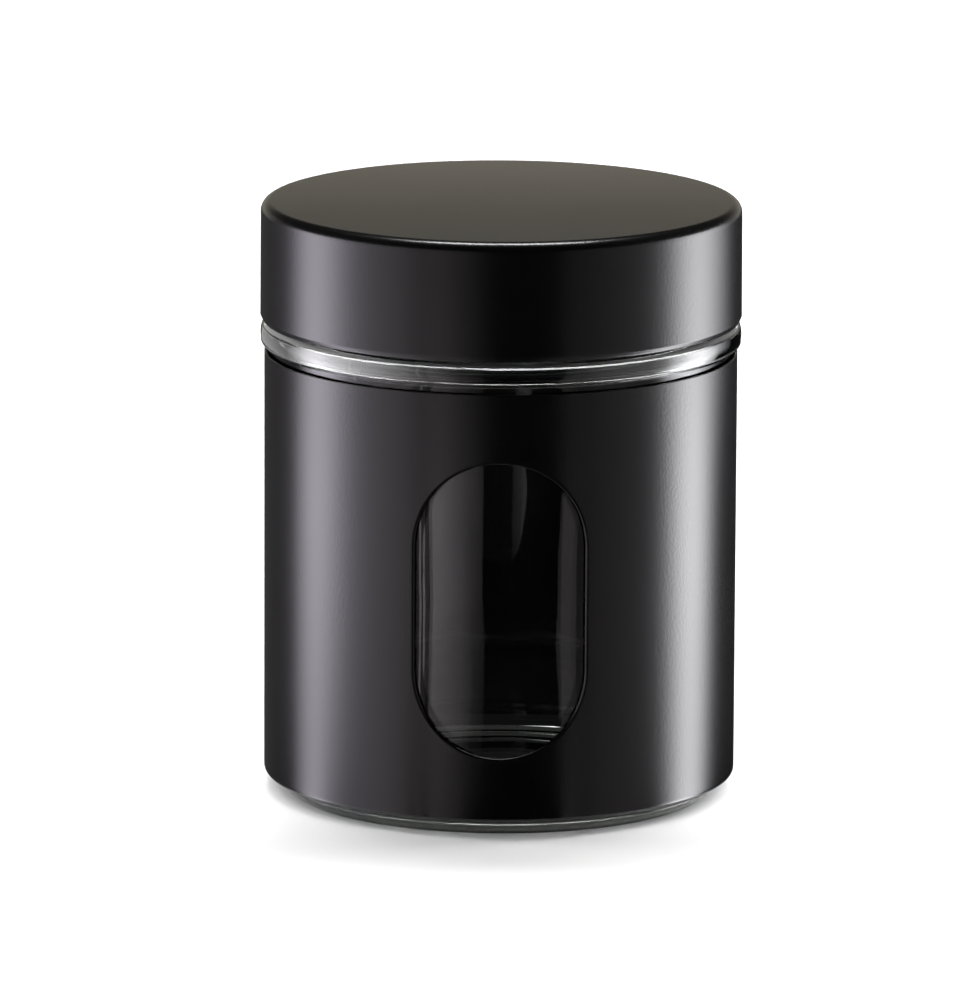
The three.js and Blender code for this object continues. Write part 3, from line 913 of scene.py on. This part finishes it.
def mirrored(azimuth, distance):
    """The place above the floor that the wall mirrors to the camera in the direction of an azimuth."""
    start = around(azimuth / 2, SLEEVE_OUT, 0)
    away = around(azimuth, distance, 0)
    return (start[0] + away[0], start[1] + away[1], CARD_LIFT)


def between(shades, step):
    """Azimuths about a step apart, with their greys, from shades of an azimuth and greys each."""
    for (first, *low), (last, *high) in zip(shades, shades[1:]):
        count = max(1, round((last - first) / step))
        for t in [k / count for k in range(count + 1)]:
            yield first + (last - first) * t, [a + (b - a) * t for a, b in zip(low, high)]


print("the wall mirrors", [round(c) for c in mirrored(-90, 200)], "at its left shoulder")

# %% Making a card
WHITE = (1.0, 1.0, 1.0)
glass_alone = bpy.data.collections.new("glass_alone")
glass_alone.objects.link(glass_body)


def card(name, rows, greys, in_gloss=True, through_glass=True, colour=WHITE, only=None):
    """A card that the camera doesn't see, from rows of points with a grey each.
    With only=, it adds its light to the reflections of those pieces and is clear to all others."""
    width = len(rows[0])
    corners = [(0, 0), (0, 1), (1, 1), (1, 0)]
    faces = []
    for row in range(len(rows) - 1):
        for k in range(width - 1):
            faces.append([(row + down) * width + k + right for down, right in corners])
    mesh = bpy.data.meshes.new(name)
    mesh.from_pydata([Vector(point) * MM for row in rows for point in row], [], faces)
    shade = mesh.attributes.new("grey", "FLOAT", "POINT")
    shade.data.foreach_set("value", [grey for row in greys for grey in row])
    material, tree, shader = new_material(name)
    grey = add(tree, "ShaderNodeAttribute")
    grey.attribute_name = "grey"
    feed_all(tree, shader, Base_Color=(0.0, 0.0, 0.0, 1.0), Specular_IOR_Level=0.0)
    feed_all(tree, shader, Emission_Color=(*colour, 1.0), Emission_Strength=grey.outputs["Fac"])
    mesh.materials.append(material)
    piece = bpy.data.objects.new(name, mesh)
    scene.collection.objects.link(piece)
    piece.visible_camera = False
    piece.visible_diffuse = False
    piece.visible_shadow = False
    piece.visible_glossy = in_gloss
    piece.visible_transmission = through_glass
    if only:
        both = add(tree, "ShaderNodeAddShader")
        feed(tree, shader.outputs[0], both.inputs[0])
        feed(tree, add(tree, "ShaderNodeBsdfTransparent").outputs[0], both.inputs[1])
        feed(tree, both.outputs[0], tree.nodes["Material Output"].inputs["Surface"])
        piece.light_linking.receiver_collection = only
    return piece


# %% [markdown]
# ## Cards in front and at the sides
# The wall is seen a little from above, so it mirrors the floor in front of it. These cards lie on the
# floor from the jar outwards and bend up at their far edge. The lid stands too high to mirror the floor
# close by, and it mirrors the upright part. Each shade is an azimuth and three greys: near, far and up.

# %% Cards in front and at the sides
CARD_NEAR, CARD_KNEE, CARD_TOP = 1.2, 320.0, 200.0
LID_LEVEL = 50.0
FLOOR_REACH = 3500.0
CARD_STEP, BACK_ROWS = 3, 13


def bent_card(name, shades, **options):
    """A card that lies on the floor and bends up, from shades of an azimuth and three greys."""
    rows = []
    greys = []
    for azimuth, (near, far, lid) in between(shades, CARD_STEP):
        x, y, low_edge = mirrored(azimuth, CARD_KNEE)
        upper = [(x, y, level) for level in (low_edge, LID_LEVEL, CARD_TOP)]
        rows.append([mirrored(azimuth, CARD_NEAR), *upper])
        greys.append([near, far, lid, lid])
    return card(name, rows, greys, **options)


FRONT = [
    (-61, 1.0, 1.2, 1.05), (-44, 0.55, 0.9, 0.75), (-44, 0.25, 0.42, 0.35), (-40.2, 0.22, 0.38, 0.3),
    (-40.2, 1.4, 2.0, 1.4), (-39.2, 1.4, 2.0, 1.4), (-39.2, 0.22, 0.38, 0.3), (-37, 0.22, 0.38, 0.3),
    (-37, 0.1, 0.15, 0.12), (-35, 0.1, 0.15, 0.12), (-35, 0.6, 1.18, 0.66), (-28, 0.46, 0.9, 0.46),
    (-22, 0.32, 0.6, 0.3), (-15, 0.04, 0.33, 0.18), (-8.5, 0.01, 0.15, 0.09), (-8.5, 0.01, 0.01, 0.02),
    (31, 0.01, 0.01, 0.02), (31, 0.3, 0.3, 0.2), (39, 0.3, 0.3, 0.2), (39, 0.18, 0.16, 0.13),
    (50, 0.28, 0.27, 0.24), (76, 0.33, 0.3, 0.3),
]
LEFT = [
    (-140, 0.07, 0.07, 0.08), (-133, 0.08, 0.08, 0.12), (-126, 0.1, 0.12, 0.16), (-121, 0.22, 0.27, 0.3),
    (-116, 1.3, 1.5, 1.2), (-108, 3.5, 4.9, 4.0), (-103, 4.5, 6.5, 5.4), (-97, 3.5, 6.6, 5.8),
    (-92, 2.2, 6.0, 5.3), (-82, 1.2, 3.1, 2.9), (-73, 1.05, 1.7, 1.5), (-61, 1.0, 1.2, 1.05),
]
RIGHT = [
    (76, 0.33, 0.3, 0.3), (81, 0.3, 0.15, 0.45), (86, 0.9, 1.0, 1.4), (91, 3.2, 4.6, 4.4),
    (97, 6.9, 9.1, 6.8), (102, 9.0, 11.2, 8.4), (108, 8.2, 11.2, 8.4), (114, 5.2, 8.4, 6.7),
    (120, 1.8, 4.5, 4.3), (124, 0.4, 2.0, 3.0), (131, 0.02, 0.04, 1.4), (136, 0.01, 0.01, 0.5),
    (142, 0.01, 0.01, 0.1),
]
BACK = [("left_back_card", -179, -140, 0.075), ("right_back_card", 142, 179, 0.012)]
bent_card("front_card", FRONT, colour=(1.02, 0.95, 0.99))
bent_card("left_card", LEFT, through_glass=False, colour=(1.0, 0.955, 1.07))
bent_card("right_card", RIGHT, through_glass=False, colour=(1.0, 1.0, 1.04))
for name, first, last, grey in BACK:
    turns = [first + (last - first) * k / BACK_ROWS for k in range(BACK_ROWS + 1)]
    strip = [[mirrored(turn, CARD_NEAR), mirrored(turn, FLOOR_REACH)] for turn in turns]
    card(name, strip, [[grey, grey]] * len(strip), through_glass=False)
print("shades:", len(FRONT), "in front,", len(LEFT), "left,", len(RIGHT), "right")

# %% [markdown]
# ## Cards for the glass
# The bead under the lid, the heel and the foot are narrow and round, so each mirrors only what lies close
# to it. Rings close round the jar light them. Light linking keeps these rings off the lacquer.

# %% Cards for the glass
RING_STEP = 5
BEAD_RING = [(51.3, 105.2, 1), (61, 105.2, 1)]
JOINT_RING = [(61.2, 105.2, 1), (67, 105.2, 1)]
FACE_RING = [(51.4, 95.0, 1), (51.4, 99.8, 1)]
LEDGE_RING = [(45.2, 100.2, 0.1), (47.5, 100.2, 0.6), (50.2, 100.2, 1)]
HEEL_RING = [(53, 0.3, 1), (53, 6.5, 1)]
FOOT_RING = [(45.2, 0.3, 1), (46.9, 0.3, 1), (47.4, 0.3, 0.1), (54, 0.3, 0.1)]
glass_only = dict(through_glass=False, only=glass_alone)


def ring_card(name, section, shades, **options):
    """A card that runs round the jar. Its section is a list of (radius, height, share of the grey),
    and each shade is an azimuth and a grey."""
    rows = []
    greys = []
    for azimuth, (grey,) in between(shades, RING_STEP):
        rows.append([around(azimuth, radius, height) for radius, height, _ in section])
        greys.append([grey * share for _, _, share in section])
    return card(name, rows, greys, **options)


BEAD_GLINT = [(-72, 0.0), (-58, 15.0), (62, 15.0), (74, 0.0)]
ring_card("bead_glint", BEAD_RING, BEAD_GLINT, **glass_only)
JOINT_GLINT = [(-70, 0.0), (-63, 24.0), (-34, 24.0), (-30, 3.0), (-8, 3.0), (-3, 16.0)]
JOINT_GLINT += [(60, 22.0), (70, 0.0)]
ring_card("joint_glint", JOINT_RING, JOINT_GLINT, **glass_only)
FACE = [(-90, 0.5), (-72, 1.0), (-64, 1.0), (-58, 3.0), (-50, 7.3), (-42, 6.7), (-37, 5.5), (-25, 2.0)]
FACE += [(-18, 0.7), (-10, 0.0), (15, 0.0), (24, 0.5), (38, 1.0), (47, 2.6), (56, 5.0), (62, 2.6)]
FACE += [(66, 0.0)]
ring_card("face_card", FACE_RING, FACE, **glass_only)
LEDGE = [(-90, 1.0), (-42, 1.0), (-25, 0.45), (-12, 0.2), (0, 0.1), (12, 0.1), (25, 0.25)]
LEDGE += [(40, 0.5), (90, 0.6)]
ring_card("ledge_card", LEDGE_RING, LEDGE, **glass_only)
HEEL_GLINT = [(-42, 0.0), (-36, 12.0), (-20, 18.0), (0, 24.0), (15, 18.0), (33, 10.0), (45, 0.0)]
ring_card("heel_glint", HEEL_RING, HEEL_GLINT, **glass_only)
FOOT_LIGHT = [(-90, 0.03), (-48, 0.08), (-30, 0.3), (35, 0.4), (90, 0.08)]
ring_card("foot_light", FOOT_RING, FOOT_LIGHT, colour=(0.92, 1.0, 0.88), **glass_only)

# %% [markdown]
# ## Dark cards behind and under
# Clear glass on a white floor would glow from below. Two dark rings on the floor keep the heel and the
# inside of the jar dark, and one short bright ring draws the fine line low in the window. The last card
# stands upright behind the jar, where the flat top of the lid mirrors it.

# %% Dark cards behind and under
DARK = 0.004
SHADE_RING = [(45.2, 0.3, 1), (52, 1.2, 1), (130, 1.2, 1)]
BACK_RING = [(45.3, 0.25, 1), (420, 0.6, 1)]
GLINT_RING = [(44.5, 0.15, 1), (45.1, 0.2, 1)]
LID_CARD_BACK, LID_CARD_SIDES = 100, (-110, 110)
ring_card("foot_shade_card", SHADE_RING, [(-180, DARK), (180, DARK)], in_gloss=False)
ring_card("heel_back_card", BACK_RING, [(125, DARK), (235, DARK)])
FLOOR_GLINT = [(162, 0.0), (164, 2.4), (168, 1.0), (173, 0.1), (175, 0.0)]
ring_card("floor_glint", GLINT_RING, FLOOR_GLINT, in_gloss=False)
LID_SHADES = [(118, 0.52), (130, 0.49), (137, 0.415), (146, 0.31), (156, 0.237)]
lid_rows = [[(x, LID_CARD_BACK, level) for level, _ in LID_SHADES] for x in LID_CARD_SIDES]
lid_greys = [[grey for _, grey in LID_SHADES]] * 2
card("lid_card", lid_rows, lid_greys, through_glass=False, colour=(1.03, 0.955, 0.8))

# %% [markdown]
# ## Lamps and world
# A soft lamp hangs high above the jar, a little behind it. Two small lamps at the sides light the floor
# and are kept out of reflections. The world is dark but for a pale strip low behind the jar.

# %% Lamps
def lamp(name, position, target, width, height, radiance, in_gloss=True):
    """A soft rectangular lamp that looks at a target. Places and sizes in millimetres."""
    light = bpy.data.lights.new(name, "AREA")
    light.shape = "RECTANGLE"
    light.size = width * MM
    light.size_y = height * MM
    light.energy = radiance * math.pi * width * height * MM * MM
    thing = bpy.data.objects.new(name, light)
    scene.collection.objects.link(thing)
    start = Vector(position) * MM
    look = (Vector(target) * MM - start).to_track_quat("-Z", "Y")
    thing.matrix_world = Matrix.Translation(start) @ look.to_matrix().to_4x4()
    thing.visible_camera = False
    thing.visible_glossy = in_gloss
    thing.visible_transmission = in_gloss
    return thing


lamp("top_lamp", (0, 300, 1400), (0, 60, 0), width=760, height=260, radiance=27.0)
side = dict(target=(0, 0, 100), height=200, in_gloss=False)
lamp("left_lamp", around(-75, 104, 100), width=38, radiance=5.6, **side)
lamp("right_lamp", around(83, 101, 100), width=41, radiance=7.4, **side)

# %% World
SKY_COLOUR = (0.33, 0.32, 0.285, 1.0)
DARK_SKY, PALE_SKY = 0.02, 0.98
world = bpy.data.worlds.new("studio")
scene.world = world
world.use_nodes = True
tree = world.node_tree
view = add(tree, "ShaderNodeTexCoord").outputs["Generated"]
direction = add(tree, "ShaderNodeSeparateXYZ", Vector=view).outputs
behind = smooth(tree, direction["Y"], start=-0.3, end=0.7)
low = smooth(tree, direction["Z"], start=0.34, end=0.16)
pale = calc(tree, "MULTIPLY", behind, low)
strength = calc(tree, "MULTIPLY_ADD", pale, PALE_SKY, DARK_SKY)
feed_all(tree, tree.nodes["Background"], Color=SKY_COLOUR, Strength=strength)
print("world:", world.name)

# %% [markdown]
# ## Putting it together
# Each piece rides on the body of the CAD node it stands for, and that CAD node is hidden. The
# visual model has to stay inside the CAD box.

# %% Riding on the bodies
PIECES = [
    (glass_body, "jar", "glass", "glass_jar"),
    (sleeve, "jar", "sleeve_lacquer", "metal_sleeve"),
    (cap, "lid", "lid_lacquer", "lid_shell"),
    (liner, "lid", "liner_plastic", "lid_liner"),
    (ribs, "lid", "liner_plastic", "lid_liner"),
    (seal, "seal", "seal_rubber", "lid_seal"),
]
for piece, body, slot, node in PIECES:
    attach(piece, body)
    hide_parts(node)
